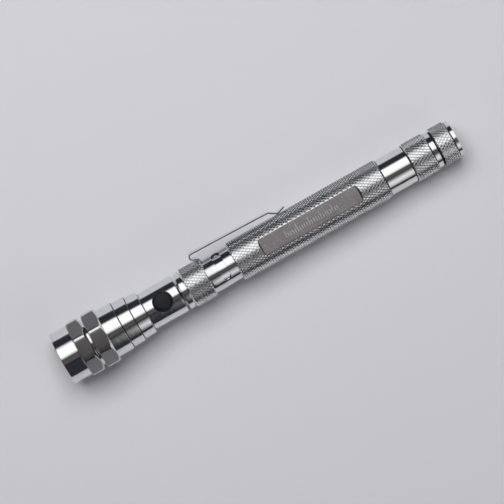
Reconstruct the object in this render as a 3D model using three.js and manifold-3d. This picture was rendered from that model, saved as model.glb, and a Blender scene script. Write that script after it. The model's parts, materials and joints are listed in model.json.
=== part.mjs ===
// Telescoping magnetic pickup tool with a lamp in its head and a pocket clip. Millimetres, +Z up.
// The tool lies along X with its lamp at -X, on one flat of its octagonal rings.
// Pieces are drawn by station, the distance behind the front edge of the bezel, around the tool's axis.
import * as THREE from "three";
import { mergeVertices } from "three/addons/utils/BufferGeometryUtils.js";
import Module from "manifold-3d";

const wasm = await Module();
wasm.setup();

const LENGTH = 170;
const OCTAGON_APOTHEM = 11;
const SHELL_SIDES = 36;
const CORE_SIDES = 24;
const SMALL_SIDES = 16;

// Clearances: loose pieces, running fits, and the gap that stands for a tight joint.
const GAP = 0.3;
const RUNNING_GAP = 0.12;
const SNUG_GAP = 0.05;

// How far a cutting outline runs past the surface that it cuts.
const OVERCUT = 0.1;

// Axial width of a groove's sloping edge.
const GROOVE_SLOPE = 0.1;

// Lamp head.
const BEZEL_END = 7.25;
const BEZEL_RADIUS = 10.52;
const BEZEL_BORE = 9.6;
const BEZEL_LIP_RADIUS = 8.5;
const BEZEL_LIP_END = 1;
const OCTAGON_RINGS = [
  [7.4, 12.73],
  [13.71, 19.53],
];
const OCTAGON_CHAMFER = { front: 0.5, rear: 1 };
const HEAD_SPIGOT_START = 3.5;
const HEAD_SPIGOT_RADIUS = 9.3;
const HEAD_GROOVE_RADIUS = 9.6;
const HEAD_TAPERS = [
  { start: 19.53, end: 25.95, front: 10, rear: 9.81 },
  { start: 26.25, end: 31.15, front: 9.44, rear: 9.3 },
  { start: 31.45, end: 36.25, front: 8.83, rear: 8.64 },
];
const TAPER_GROOVE_DEPTH = 0.4;
const TAPER_EDGE = 0.15;
const CHAMBER_BORE = 8.65;
const CHAMBER_END = 12.5;
const BATTERY_BORE = 6.4;
const HEAD_THREAD_BORE = 7.6;
const HEAD_THREAD_START = 30.5;

// Light source and front magnet.
const LED_PLATE = { start: 1.3, end: 3.2, radius: 9.2 };
const LED_COUNT = 3;
const LED_PITCH_RADIUS = 5.85;
const LED_RADIUS = 2.45;
const LED_FLANGE_RADIUS = 2.7;
const LED_TIP = 0.7;
const LED_FLANGE_START = 8.7;
const LED_END = 9.7;
const LED_HOLE_GAP = 0.1;
const FRONT_MAGNET = { start: 0.3, end: 8.3, radius: 2.8 };
const FRONT_MAGNET_GAP = 0.15;
const LED_BOARD = { start: 10, end: 11.6, radius: 8.3 };

// Power: four button cells in a sleeve between two contact springs.
const CELL_COUNT = 4;
const CELL_START = 15.2;
const CELL_PITCH = 5.4;
const CELL_RADIUS = 5.8;
const CELL_CAP_RADIUS = 4.7;
const CELL_CAP_HEIGHT = 0.6;
const SLEEVE = { start: 14.6, end: 36.6, bore: 5.95, radius: 6.2 };
const SPRING_WIRE_RADIUS = 0.28;
const SPRING_WIRE_SEGMENTS = 3;
const SPRING_STEPS_PER_TURN = 14;
const FRONT_SPRING = { start: 12, end: 14.6, large: 4.4, small: 2.6, turns: 2.5 };
const REAR_SPRING = { start: 37.1, end: 39.3, large: 4.2, small: 2.4, turns: 2 };

// Switch barrel behind the lamp head.
const BARREL = { start: 36.55, end: 50.71, radius: 7.61 };
const BARREL_SPIGOT = { start: 31, radius: 7.35 };
const BARREL_BORE = 6.35;
const BARREL_WALL_START = 49.3;
const ANCHOR_HOLE = 3.9;
const HEAD_O_RING = { start: 34.4, end: 35.3, inner: 6.95, outer: 7.45 };
const O_RING_SIDE_GAP = 0.1;
const BUTTON_STATION = 43.7;
const BUTTON_ROLL = THREE.MathUtils.degToRad(5.5);
const BUTTON_RADIUS = 3.9;
const BUTTON_HOLE_BOTTOM = 3;
const BUTTON_TOP = 8.25;
const BUTTON_SHOULDER = 7.45;
const BUTTON_DOME = [
  [BUTTON_TOP - 0.25, BUTTON_RADIUS * 0.75],
  [BUTTON_TOP, BUTTON_RADIUS * 0.3],
  [BUTTON_TOP, 0],
];
const BUTTON_FLANGE = { bottom: 3.5, top: 4.1, radius: 4.45 };
const PLUNGER = { bottom: 2.75, top: 3.3, radius: 1.5 };
const SWITCH_MODULE = { size: 6, bottom: -1.5, top: 1.8 };
const SWITCH_BOARD = { start: 39.9, end: 46.9, halfWidth: 5, bottom: -2.9, top: -1.8 };

// Flexible neck and its ends.
const NECK_RADIUS = 2.3;
const NECK_START = 48.7;
const NECK_STUD_RADIUS = 1.2;
const NECK_STUD_LENGTH = 3.5;
const ANCHOR_FLANGE = { start: 48.35, end: 49.1, radius: 5.2 };
const ANCHOR_SHANK_RADIUS = 3.6;

// Telescope: four tubes, the first the widest, and the neck as the fifth stage.
const STAGE_TRAVEL = 78;
const TUBES = [
  { bore: 4.75, radius: 5.05 },
  { bore: 4.05, radius: 4.35 },
  { bore: 3.35, radius: 3.65 },
  { bore: 2.65, radius: 2.95 },
];
const TUBE_EDGE = { width: 0.4, depth: 0.1 };
const TUBE_START = 51.1;
const TUBE_END = 150;
const NOSE_END = 53.9;
const NOSE_GAP = 0.15;
const BUSH_START = NOSE_END + STAGE_TRAVEL + GAP;
const FRICTION_RING = { start: 137, end: 146, inner: 1.95 };

// Handle.
const COLLAR = { start: 51.58, end: 53.85, radius: 7.47, shank: 6.1, shankEnd: 58.5 };
const HANDLE = { start: 54.15, end: 161.45, bore: 5.55, counterbore: 6.3 };
const HANDLE_FRONT_COUNTERBORE_END = 59;
const HANDLE_REAR_COUNTERBORE = 156.6;
const KNURL_RADIUS = 7.98;
const CLIP_GROOVE = { start: 63, end: 74.6, radius: 6.5 };
const REAR_KNURL_RADIUS = 7.93;
const SMOOTH_BAND = { start: 139.2, end: 149.9, radius: 7.42 };
const KNURL_2_END = 138.5;
const KNURL_3 = { start: 150.4, end: 159.3 };
const REAR_RING = { start: 159.7, radius: 7.37 };
const HANDLE_GROOVE_RADIUS = 6.95;
const EDGE = 0.3;
const LABEL_FLAT = { start: 85.2, end: 128.6, height: 7.15 };

// Tail cap with the rear magnet.
const CAP = { start: 162.25, knurlEnd: 168.4, knurlRadius: 7.9, ringStart: 168.7, ringRadius: 7.33 };
const CAP_SPIGOT = { start: 157, radius: 6 };
const CAP_POCKET = { start: 164.5, radius: 4.6 };
const TAIL_MAGNET = { start: 164.8, end: 169.7, radius: 4.45 };
const TAIL_O_RING = { start: 161.57, end: 162.13, inner: 6.1, outer: 6.95 };

// Pocket clip: a sprung band around the handle, and a leaf along it, both rolled above the axis's level.
const STRIP = 0.5;
const BAND = { start: 63.9, end: 74.3, inner: 6.7 };
const BAND_GAP_ANGLE = THREE.MathUtils.degToRad(50);
const BAND_SLOT = { station: 69.1, width: 3.45, from: 13, to: 119 };
const CLIP_ROLL = THREE.MathUtils.degToRad(9.5);
const LEAF_WIDTH = { root: 4, tip: 2.5 };
const LEAF_TAPER_START = 66;
const TAB_WIDTH = 3.8;
const CLIP_BEND = { station: 61.55, radius: 10.05, size: 1.19, from: -97, sweep: -168.5, steps: 8 };
const CLIP_SPLIT = 62.2;

function finish(color, roughness, metalness) {
  return new THREE.MeshStandardMaterial({ color, roughness, metalness });
}

const polishedMetal = () => finish(0xd6d8dc, 0.12, 1);
const satinMetal = () => finish(0xa7a6aa, 0.35, 1);
const knurledMetal = () => finish(0xc9cbcf, 0.2, 1);
const springSteel = () => finish(0xc3c6ca, 0.18, 1);
const magnetPlating = () => finish(0xb5b6b8, 0.22, 1);
const brass = () => finish(0xb89a55, 0.3, 1);
const blackRubber = () => finish(0x1b1c20, 0.75, 0);
const boardGreen = () => finish(0x1e5a38, 0.55, 0);
const whitePlastic = () => finish(0xe4e4df, 0.5, 0);
const darkPlastic = () => finish(0x26272a, 0.5, 0);
const clearEpoxy = () => finish(0xeef2f5, 0.1, 0);

const tool = new THREE.Group();
tool.position.set(-LENGTH / 2, 0, OCTAGON_APOTHEM);

function add(name, geometry, material, parent = tool) {
  const mesh = new THREE.Mesh(geometry, material);
  mesh.name = name;
  parent.add(mesh);
}

function solidOf(geometry) {
  const plain = geometry.clone();
  plain.deleteAttribute("normal");
  plain.deleteAttribute("uv");
  const merged = mergeVertices(plain, 1e-4);
  return new wasm.Manifold(
    new wasm.Mesh({
      numProp: 3,
      vertProperties: merged.attributes.position.array,
      triVerts: new Uint32Array(merged.index.array),
    }),
  );
}

function geometryOf(solid) {
  const mesh = solid.getMesh();
  return new THREE.BufferGeometry()
    .setAttribute("position", new THREE.BufferAttribute(mesh.vertProperties, 3))
    .setIndex(new THREE.BufferAttribute(mesh.triVerts, 1));
}

function subtract(geometry, ...cutters) {
  return geometryOf(cutters.reduce((solid, cutter) => solid.subtract(solidOf(cutter)), solidOf(geometry)));
}

function join(geometry, ...others) {
  return geometryOf(others.reduce((solid, other) => solid.add(solidOf(other)), solidOf(geometry)));
}

// A turned piece. The outer and inner outlines are [station, radius] points from front to rear.
// Without an inner outline the piece is solid.
function turned(outer, inner = [], sides = CORE_SIDES) {
  const rearCentre = [outer.at(-1)[0], 0];
  const closing = inner.length ? [...[...inner].reverse(), outer[0]] : [rearCentre];
  const opening = inner.length ? [] : [[outer[0][0], 0]];
  const outline = [...opening, ...outer, ...closing];
  const points = outline.map(([station, radius]) => new THREE.Vector2(radius, station));
  return new THREE.LatheGeometry(points, sides).rotateZ(-Math.PI / 2);
}

function ring({ start, end, inner, outer }, sides = CORE_SIDES) {
  return turned([[start, outer], [end, outer]], [[start, inner], [end, inner]], sides);
}

function rod({ start, end, radius }, sides = CORE_SIDES) {
  return turned([[start, radius], [end, radius]], [], sides);
}

// A piece turned around the button's axis: [height above the tool's axis, radius] points, bottom to top.
function turnedUpright(outline, sides = SMALL_SIDES) {
  const bottomCentre = [outline[0][0], 0];
  const points = [bottomCentre, ...outline].map(([height, radius]) => new THREE.Vector2(radius, height));
  return new THREE.LatheGeometry(points, sides)
    .rotateX(Math.PI / 2 - BUTTON_ROLL)
    .translate(BUTTON_STATION, 0, 0);
}

function block(lengthX, widthY, bottom, top, station) {
  return new THREE.BoxGeometry(lengthX, widthY, top - bottom).translate(station, 0, (top + bottom) / 2);
}

// One octagonal ring: an eight-sided prism whose ends are turned to a shallow cone.
// Its bore lies under the shell's own outer wall, so the two join.
function octagonRing([start, end]) {
  const corner = OCTAGON_APOTHEM / Math.cos(Math.PI / 8);
  const bore = (HEAD_SPIGOT_RADIUS + CHAMBER_BORE) / 2;
  const turnedBlank = turned(
    [
      [start, OCTAGON_APOTHEM - OVERCUT],
      [start + OCTAGON_CHAMFER.front, corner + OVERCUT],
      [end - OCTAGON_CHAMFER.rear, corner + OVERCUT],
      [end, OCTAGON_APOTHEM - OVERCUT],
    ],
    [[start, bore], [end, bore]],
    SHELL_SIDES,
  );
  const prism = new THREE.CylinderGeometry(corner, corner, end - start + 2 * OVERCUT, 8)
    .rotateY(Math.PI / 8)
    .rotateZ(-Math.PI / 2)
    .translate((start + end) / 2, 0, 0);
  return geometryOf(solidOf(turnedBlank).intersect(solidOf(prism)));
}

function lampHeadShell() {
  const [ringA, ringB] = OCTAGON_RINGS;
  const tapers = HEAD_TAPERS.flatMap(({ start, end, front, rear }, index) => {
    const bottom = rear - TAPER_GROOVE_DEPTH;
    const groove = index < HEAD_TAPERS.length - 1 ? [[end, bottom], [end + TAPER_EDGE, bottom]] : [];
    return [[start, front], [end - TAPER_EDGE, rear], ...groove];
  });
  const outer = [
    [HEAD_SPIGOT_START, HEAD_SPIGOT_RADIUS],
    [ringA[1], HEAD_SPIGOT_RADIUS],
    [ringA[1], HEAD_GROOVE_RADIUS],
    [ringB[0], HEAD_GROOVE_RADIUS],
    [ringB[0], HEAD_TAPERS[0].front],
    ...tapers,
    [HEAD_TAPERS.at(-1).end, HEAD_TAPERS.at(-1).rear - TAPER_EDGE],
  ];
  const inner = [
    [HEAD_SPIGOT_START, CHAMBER_BORE],
    [CHAMBER_END, CHAMBER_BORE],
    [CHAMBER_END, BATTERY_BORE],
    [HEAD_THREAD_START, BATTERY_BORE],
    [HEAD_THREAD_START, HEAD_THREAD_BORE],
    [HEAD_TAPERS.at(-1).end, HEAD_THREAD_BORE],
  ];
  return join(turned(outer, inner, SHELL_SIDES), ...OCTAGON_RINGS.map(octagonRing));
}

function addLampHead() {
  const bezelOuter = [[0, BEZEL_RADIUS - EDGE], [EDGE, BEZEL_RADIUS], [BEZEL_END, BEZEL_RADIUS]];
  const bezelInner = [
    [0, BEZEL_LIP_RADIUS + EDGE],
    [BEZEL_LIP_END, BEZEL_LIP_RADIUS],
    [BEZEL_LIP_END, BEZEL_BORE],
    [BEZEL_END, BEZEL_BORE],
  ];
  add("front_bezel", turned(bezelOuter, bezelInner, SHELL_SIDES), polishedMetal());
  add("lamp_head_shell", lampHeadShell(), satinMetal());
  add("head_o_ring", ring(HEAD_O_RING), blackRubber());
}

function ledPlaces() {
  return Array.from({ length: LED_COUNT }, (_, index) => {
    const angle = (index * 2 * Math.PI) / LED_COUNT;
    return [LED_PITCH_RADIUS * Math.sin(angle), LED_PITCH_RADIUS * Math.cos(angle)];
  });
}

// A lamp with a domed tip at the front and a flange behind.
function led() {
  const domeSteps = 4;
  const dome = Array.from({ length: domeSteps }, (_, index) => {
    const angle = ((index + 1) / domeSteps) * (Math.PI / 2);
    return [LED_TIP + LED_RADIUS * (1 - Math.cos(angle)), LED_RADIUS * Math.sin(angle)];
  });
  const body = [
    [LED_FLANGE_START, LED_RADIUS],
    [LED_FLANGE_START, LED_FLANGE_RADIUS],
    [LED_END, LED_FLANGE_RADIUS],
  ];
  const outline = [[LED_TIP, 0], ...dome, ...body, [LED_END, 0]];
  const points = outline.map(([station, radius]) => new THREE.Vector2(radius, station));
  return new THREE.LatheGeometry(points, SMALL_SIDES).rotateZ(-Math.PI / 2);
}

function addLightSource() {
  const { start, end, radius } = LED_PLATE;
  const magnetHole = FRONT_MAGNET.radius + FRONT_MAGNET_GAP;
  const disc = ring({ start, end, inner: magnetHole, outer: radius }, SHELL_SIDES);
  const holes = ledPlaces().map(([y, z]) =>
    rod({ start: start - OVERCUT, end: end + OVERCUT, radius: LED_RADIUS + LED_HOLE_GAP }).translate(0, y, z),
  );
  add("led_plate", subtract(disc, ...holes), whitePlastic());
  ledPlaces().forEach(([y, z], index) => add(`led_${index + 1}`, led().translate(0, y, z), clearEpoxy()));
  add("front_magnet", rod(FRONT_MAGNET), magnetPlating());
  add("led_circuit_board", rod(LED_BOARD), boardGreen());
}

// A conical compression spring along the tool's axis, with its wide end in front.
class SpringPath extends THREE.Curve {
  constructor(spring) {
    super();
    this.spring = spring;
  }

  getPoint(t, target = new THREE.Vector3()) {
    const { start, end, large, small, turns } = this.spring;
    const angle = t * turns * 2 * Math.PI;
    const radius = large + (small - large) * t;
    return target.set(start + (end - start) * t, radius * Math.sin(angle), radius * Math.cos(angle));
  }
}

function contactSpring(spring) {
  const section = new THREE.Shape().absarc(0, 0, SPRING_WIRE_RADIUS, 0, 2 * Math.PI);
  return new THREE.ExtrudeGeometry(section, {
    steps: Math.round(spring.turns * SPRING_STEPS_PER_TURN),
    curveSegments: SPRING_WIRE_SEGMENTS,
    extrudePath: new SpringPath(spring),
  });
}

function addPower() {
  const bodyLength = CELL_PITCH - GAP - CELL_CAP_HEIGHT;
  for (let index = 0; index < CELL_COUNT; index += 1) {
    const start = CELL_START + index * CELL_PITCH;
    const shoulder = start + CELL_CAP_HEIGHT;
    const outline = [
      [start, CELL_CAP_RADIUS],
      [shoulder, CELL_CAP_RADIUS],
      [shoulder, CELL_RADIUS],
      [shoulder + bodyLength, CELL_RADIUS],
    ];
    add(`battery_cell_${index + 1}`, turned(outline), magnetPlating());
  }
  const { start, end, bore, radius } = SLEEVE;
  add("battery_sleeve", ring({ start, end, inner: bore, outer: radius }), darkPlastic());
  add("front_contact_spring", contactSpring(FRONT_SPRING), springSteel());
  add("rear_contact_spring", contactSpring(REAR_SPRING), springSteel());
}

function switchBarrel() {
  const { start: ringStart, end: ringEnd, inner: ringInner } = HEAD_O_RING;
  const grooveRadius = ringInner - SNUG_GAP;
  const spigotEnd = BARREL.start - GAP / 2;
  const outer = [
    [BARREL_SPIGOT.start, BARREL_SPIGOT.radius],
    [ringStart - O_RING_SIDE_GAP, BARREL_SPIGOT.radius],
    [ringStart - O_RING_SIDE_GAP, grooveRadius],
    [ringEnd + O_RING_SIDE_GAP, grooveRadius],
    [ringEnd + O_RING_SIDE_GAP, BARREL_SPIGOT.radius],
    [spigotEnd, BARREL_SPIGOT.radius],
    [BARREL.start, BARREL.radius],
    [BARREL.end - EDGE, BARREL.radius],
    [BARREL.end, BARREL.radius - EDGE],
  ];
  const inner = [
    [BARREL_SPIGOT.start, BARREL_BORE],
    [BARREL_WALL_START, BARREL_BORE],
    [BARREL_WALL_START, ANCHOR_HOLE],
    [BARREL.end, ANCHOR_HOLE],
  ];
  const holeRadius = BUTTON_RADIUS + GAP;
  const holeTop = BARREL.radius + OVERCUT;
  const buttonHole = turnedUpright([[BUTTON_HOLE_BOTTOM, holeRadius], [holeTop, holeRadius], [holeTop, 0]]);
  return subtract(turned(outer, inner, SHELL_SIDES), buttonHole);
}

function addSwitch() {
  add("switch_barrel", switchBarrel(), polishedMetal());
  const button = [
    [BUTTON_FLANGE.bottom, BUTTON_FLANGE.radius],
    [BUTTON_FLANGE.top, BUTTON_FLANGE.radius],
    [BUTTON_FLANGE.top, BUTTON_RADIUS],
    [BUTTON_SHOULDER, BUTTON_RADIUS],
    ...BUTTON_DOME,
  ];
  add("switch_button", turnedUpright(button), blackRubber());
  const { bottom, top, radius } = PLUNGER;
  add("switch_plunger", turnedUpright([[bottom, radius], [top, radius], [top, 0]]), darkPlastic());
  const { size, bottom: moduleBottom, top: moduleTop } = SWITCH_MODULE;
  add("switch_module", block(size, size, moduleBottom, moduleTop, BUTTON_STATION), darkPlastic());
  const { start, end, halfWidth, bottom: boardBottom, top: boardTop } = SWITCH_BOARD;
  const board = block(end - start, 2 * halfWidth, boardBottom, boardTop, (start + end) / 2);
  add("switch_circuit_board", board, boardGreen());
}

function addNeck() {
  const plugOuter = [
    [ANCHOR_FLANGE.start, ANCHOR_FLANGE.radius],
    [ANCHOR_FLANGE.end, ANCHOR_FLANGE.radius],
    [ANCHOR_FLANGE.end, ANCHOR_SHANK_RADIUS],
    [BARREL.end, ANCHOR_SHANK_RADIUS],
  ];
  const socket = NECK_RADIUS + SNUG_GAP;
  const plugInner = [
    [ANCHOR_FLANGE.start, NECK_STUD_RADIUS],
    [NECK_START - GAP / 2, NECK_STUD_RADIUS],
    [NECK_START - GAP / 2, socket],
    [BARREL.end, socket],
  ];
  add("neck_anchor_plug", turned(plugOuter, plugInner), brass());
  const neckEnd = BUSH_START - GAP;
  const neck = [
    [NECK_START, NECK_RADIUS],
    [neckEnd, NECK_RADIUS],
    [neckEnd, NECK_STUD_RADIUS],
    [neckEnd + NECK_STUD_LENGTH, NECK_STUD_RADIUS],
  ];
  add("gooseneck", turned(neck), springSteel());
  const ferruleRadius = TUBES.at(-1).bore - RUNNING_GAP;
  const { start, end, inner } = FRICTION_RING;
  const grooveRadius = inner - RUNNING_GAP;
  const ferruleOuter = [
    [BUSH_START, ferruleRadius],
    [start - RUNNING_GAP, ferruleRadius],
    [start - RUNNING_GAP, grooveRadius],
    [end + RUNNING_GAP, grooveRadius],
    [end + RUNNING_GAP, ferruleRadius],
    [TUBE_END, ferruleRadius],
  ];
  const studHole = NECK_STUD_RADIUS + SNUG_GAP;
  const ferruleInner = [[BUSH_START, studHole], [TUBE_END, studHole]];
  add("neck_rear_ferrule", turned(ferruleOuter, ferruleInner), brass());
  add("neck_friction_ring", ring({ start, end, inner, outer: ferruleRadius }), brass());
}

// One tube with a narrower nose, and the bush around its rear end that slides in the next wider bore.
function addTube(index) {
  const { bore, radius } = TUBES[index];
  const inside = TUBES[index + 1] ?? { radius: NECK_RADIUS };
  const outside = TUBES[index - 1] ?? HANDLE;
  const nose = inside.radius + NOSE_GAP;
  const { width, depth } = TUBE_EDGE;
  const outer = [[TUBE_START, radius - depth], [TUBE_START + width, radius], [TUBE_END, radius]];
  const inner = [[TUBE_START, nose], [NOSE_END, nose], [NOSE_END, bore], [TUBE_END, bore]];
  add(`telescope_tube_${index + 1}`, turned(outer, inner), polishedMetal());
  const stop = index === 0 ? COLLAR.shankEnd + STAGE_TRAVEL + GAP : BUSH_START;
  const bush = { start: stop, end: TUBE_END, inner: radius + SNUG_GAP, outer: outside.bore - RUNNING_GAP };
  add(`tube_${index + 1}_slide_bush`, ring(bush), brass());
}

function labelCutter() {
  const { start, end, height } = LABEL_FLAT;
  const rise = KNURL_RADIUS - height;
  const top = height + 2 * rise;
  const outline = new THREE.Shape([
    new THREE.Vector2(start + rise, height),
    new THREE.Vector2(end - rise, height),
    new THREE.Vector2(end + rise, top),
    new THREE.Vector2(start - rise, top),
  ]);
  const width = 2 * KNURL_RADIUS;
  return new THREE.ExtrudeGeometry(outline, { depth: width, bevelEnabled: false })
    .rotateX(Math.PI / 2)
    .translate(0, width / 2, 0);
}

function handleBarrel() {
  const { start, end, bore, counterbore } = HANDLE;
  const outer = [
    [start, KNURL_RADIUS - EDGE],
    [start + EDGE, KNURL_RADIUS],
    [CLIP_GROOVE.start - EDGE, KNURL_RADIUS],
    [CLIP_GROOVE.start, KNURL_RADIUS - 2 * EDGE],
    [CLIP_GROOVE.start, CLIP_GROOVE.radius],
    [CLIP_GROOVE.end, CLIP_GROOVE.radius],
    [CLIP_GROOVE.end, KNURL_RADIUS - EDGE],
    [CLIP_GROOVE.end + EDGE, KNURL_RADIUS],
    [KNURL_2_END - EDGE, KNURL_RADIUS],
    [KNURL_2_END, HANDLE_GROOVE_RADIUS],
    [SMOOTH_BAND.start - EDGE, HANDLE_GROOVE_RADIUS],
    [SMOOTH_BAND.start, SMOOTH_BAND.radius],
    [SMOOTH_BAND.end, SMOOTH_BAND.radius],
    [SMOOTH_BAND.end, HANDLE_GROOVE_RADIUS],
    [KNURL_3.start, HANDLE_GROOVE_RADIUS],
    [KNURL_3.start + EDGE, REAR_KNURL_RADIUS],
    [KNURL_3.end - EDGE, REAR_KNURL_RADIUS],
    [KNURL_3.end, HANDLE_GROOVE_RADIUS],
    [REAR_RING.start - GROOVE_SLOPE, HANDLE_GROOVE_RADIUS],
    [REAR_RING.start, REAR_RING.radius],
    [end - EDGE, REAR_RING.radius],
    [end, REAR_RING.radius - EDGE],
  ];
  const inner = [
    [start, counterbore],
    [HANDLE_FRONT_COUNTERBORE_END, counterbore],
    [HANDLE_FRONT_COUNTERBORE_END, bore],
    [HANDLE_REAR_COUNTERBORE, bore],
    [HANDLE_REAR_COUNTERBORE, counterbore],
    [end, counterbore],
  ];
  return subtract(turned(outer, inner, SHELL_SIDES), labelCutter());
}

function addHandle() {
  add("handle_barrel", handleBarrel(), knurledMetal());
  const { start, end, radius, shank, shankEnd } = COLLAR;
  const nose = TUBES[0].radius + NOSE_GAP;
  const outer = [
    [start, radius - EDGE],
    [start + EDGE, radius],
    [end, radius],
    [end, shank],
    [shankEnd, shank],
  ];
  add("handle_front_collar", turned(outer, [[start, nose], [shankEnd, nose]], SHELL_SIDES), polishedMetal());
}

function addTailCap() {
  const outer = [
    [CAP_SPIGOT.start, CAP_SPIGOT.radius],
    [CAP.start, CAP_SPIGOT.radius],
    [CAP.start, CAP.knurlRadius - EDGE],
    [CAP.start + EDGE, CAP.knurlRadius],
    [CAP.knurlEnd, CAP.knurlRadius],
    [CAP.knurlEnd + GROOVE_SLOPE, HANDLE_GROOVE_RADIUS],
    [CAP.ringStart - GROOVE_SLOPE, HANDLE_GROOVE_RADIUS],
    [CAP.ringStart, CAP.ringRadius],
    [LENGTH - EDGE, CAP.ringRadius],
    [LENGTH, CAP.ringRadius - EDGE],
  ];
  const pocket = rod({ start: CAP_POCKET.start, end: LENGTH + OVERCUT, radius: CAP_POCKET.radius });
  add("tail_cap", subtract(turned(outer, [], SHELL_SIDES), pocket), knurledMetal());
  add("tail_magnet", rod(TAIL_MAGNET), magnetPlating());
  add("tail_o_ring", ring(TAIL_O_RING), blackRubber());
}

// Centre line of the clip's strip beside the handle, as [station, distance from the axis] points.
function clipCentreLine() {
  const { station, radius, size, from, sweep, steps } = CLIP_BEND;
  const bend = Array.from({ length: steps + 1 }, (_, index) => {
    const angle = THREE.MathUtils.degToRad(from + (sweep * index) / steps);
    return [station + size * Math.cos(angle), radius + size * Math.sin(angle)];
  });
  return {
    tab: [[64.8, 6.86], [63.85, 7], [63.35, 8.2], [63, 8.42], [CLIP_SPLIT + GAP / 2, 8.6]],
    leaf: [[CLIP_SPLIT - GAP / 2, 8.68], ...bend, [94.4, 10.4], [97.5, 8.35], [101, 9.5]],
  };
}

function offsetLine(points, distance) {
  return points.map(([x, y], index) => {
    const [beforeX, beforeY] = points[Math.max(index - 1, 0)];
    const [afterX, afterY] = points[Math.min(index + 1, points.length - 1)];
    const length = Math.hypot(afterX - beforeX, afterY - beforeY);
    return new THREE.Vector2(
      x - ((afterY - beforeY) / length) * distance,
      y + ((afterX - beforeX) / length) * distance,
    );
  });
}

// A flat strip bent along a line in the XY plane, as wide as given along Z.
function bentStrip(line, width) {
  const outline = [...offsetLine(line, STRIP / 2), ...offsetLine(line, -STRIP / 2).reverse()];
  const shape = new THREE.Shape(outline);
  return new THREE.ExtrudeGeometry(shape, { depth: width, bevelEnabled: false }).translate(0, 0, -width / 2);
}

// The leaf's outline seen from beside the handle: parallel at the bend, then narrowing to the tip.
function taperedLeaf(line) {
  const blank = bentStrip(line, LEAF_WIDTH.root);
  const tipStation = line.at(-1)[0] + STRIP;
  const frontStation = CLIP_BEND.station - 2 * CLIP_BEND.size;
  const halfRoot = LEAF_WIDTH.root / 2 + SNUG_GAP;
  const halfTip = LEAF_WIDTH.tip / 2;
  const outline = new THREE.Shape([
    new THREE.Vector2(frontStation, -halfRoot),
    new THREE.Vector2(LEAF_TAPER_START, -halfRoot),
    new THREE.Vector2(tipStation, -halfTip),
    new THREE.Vector2(tipStation, halfTip),
    new THREE.Vector2(LEAF_TAPER_START, halfRoot),
    new THREE.Vector2(frontStation, halfRoot),
  ]);
  const depth = 2 * CLIP_BEND.radius;
  const envelope = new THREE.ExtrudeGeometry(outline, { depth, bevelEnabled: false })
    .rotateX(Math.PI / 2)
    .translate(0, depth, 0);
  return geometryOf(solidOf(blank).intersect(solidOf(envelope)));
}

// A length of ring between two angles, counted from +Y towards +Z.
function ringSector({ start, end, inner, outer, from, to }) {
  const shape = new THREE.Shape();
  shape.absarc(0, 0, outer, from, to, false);
  shape.absarc(0, 0, inner, to, from, true);
  return new THREE.ExtrudeGeometry(shape, { depth: end - start, bevelEnabled: false, curveSegments: 20 })
    .rotateX(Math.PI / 2)
    .rotateZ(Math.PI / 2)
    .translate(start, 0, 0);
}

function clipBand() {
  const { start, end, inner } = BAND;
  const halfGap = BAND_GAP_ANGLE / 2;
  const band = ringSector({
    start,
    end,
    inner,
    outer: inner + STRIP,
    from: -Math.PI + halfGap,
    to: Math.PI - halfGap,
  });
  const slots = [1, -1].map((side) => {
    const angles = [side * BAND_SLOT.from, side * BAND_SLOT.to].map(THREE.MathUtils.degToRad);
    return ringSector({
      start: BAND_SLOT.station - BAND_SLOT.width / 2,
      end: BAND_SLOT.station + BAND_SLOT.width / 2,
      inner: inner - OVERCUT,
      outer: inner + STRIP + OVERCUT,
      from: Math.min(...angles),
      to: Math.max(...angles),
    });
  });
  return join(subtract(band, ...slots), bentStrip(clipCentreLine().tab, TAB_WIDTH));
}

function addClip() {
  const clip = new THREE.Group();
  clip.rotation.x = CLIP_ROLL;
  tool.add(clip);
  add("clip_band", clipBand(), springSteel(), clip);
  add("clip_leaf", taperedLeaf(clipCentreLine().leaf), springSteel(), clip);
}

addLampHead();
addLightSource();
addPower();
addSwitch();
addNeck();
TUBES.forEach((_, index) => addTube(index));
addHandle();
addTailCap();
addClip();

export default tool;
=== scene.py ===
"""Looks of a telescoping magnetic pickup tool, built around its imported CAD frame.

Stations are millimetres behind the front edge of the bezel, and radii are millimetres from the tool's axis.
Angles around the axis are counted from +Z towards +Y, the side of the pocket clip.
"""
import json
import math

import bmesh
import bpy
from mathutils import Matrix, Vector


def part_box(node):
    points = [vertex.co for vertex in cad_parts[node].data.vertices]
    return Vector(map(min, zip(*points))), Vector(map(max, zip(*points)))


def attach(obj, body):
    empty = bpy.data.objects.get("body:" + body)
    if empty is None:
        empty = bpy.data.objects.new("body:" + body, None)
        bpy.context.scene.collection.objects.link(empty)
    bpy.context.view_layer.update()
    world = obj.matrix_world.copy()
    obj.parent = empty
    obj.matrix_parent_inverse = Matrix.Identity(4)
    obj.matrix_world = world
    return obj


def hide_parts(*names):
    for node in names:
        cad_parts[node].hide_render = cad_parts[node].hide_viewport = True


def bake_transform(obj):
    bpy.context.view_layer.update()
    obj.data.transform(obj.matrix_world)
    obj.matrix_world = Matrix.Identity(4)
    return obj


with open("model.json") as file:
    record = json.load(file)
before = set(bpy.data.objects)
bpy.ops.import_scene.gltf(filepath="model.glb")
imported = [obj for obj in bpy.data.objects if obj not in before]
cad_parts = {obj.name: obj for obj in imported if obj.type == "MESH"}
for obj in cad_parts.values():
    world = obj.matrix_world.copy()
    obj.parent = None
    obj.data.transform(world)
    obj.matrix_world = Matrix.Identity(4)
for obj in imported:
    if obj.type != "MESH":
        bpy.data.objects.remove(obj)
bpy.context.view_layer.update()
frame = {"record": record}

MM = 0.001
FRONT_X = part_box("front_bezel")[0].x
AXIS_Z = sum(corner.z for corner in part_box("front_bezel")) / 2
RECORD = frame["record"]
BODY_OF = {node: body for body, nodes in RECORD["behaviour"]["bodies"].items() for node in nodes}
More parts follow.
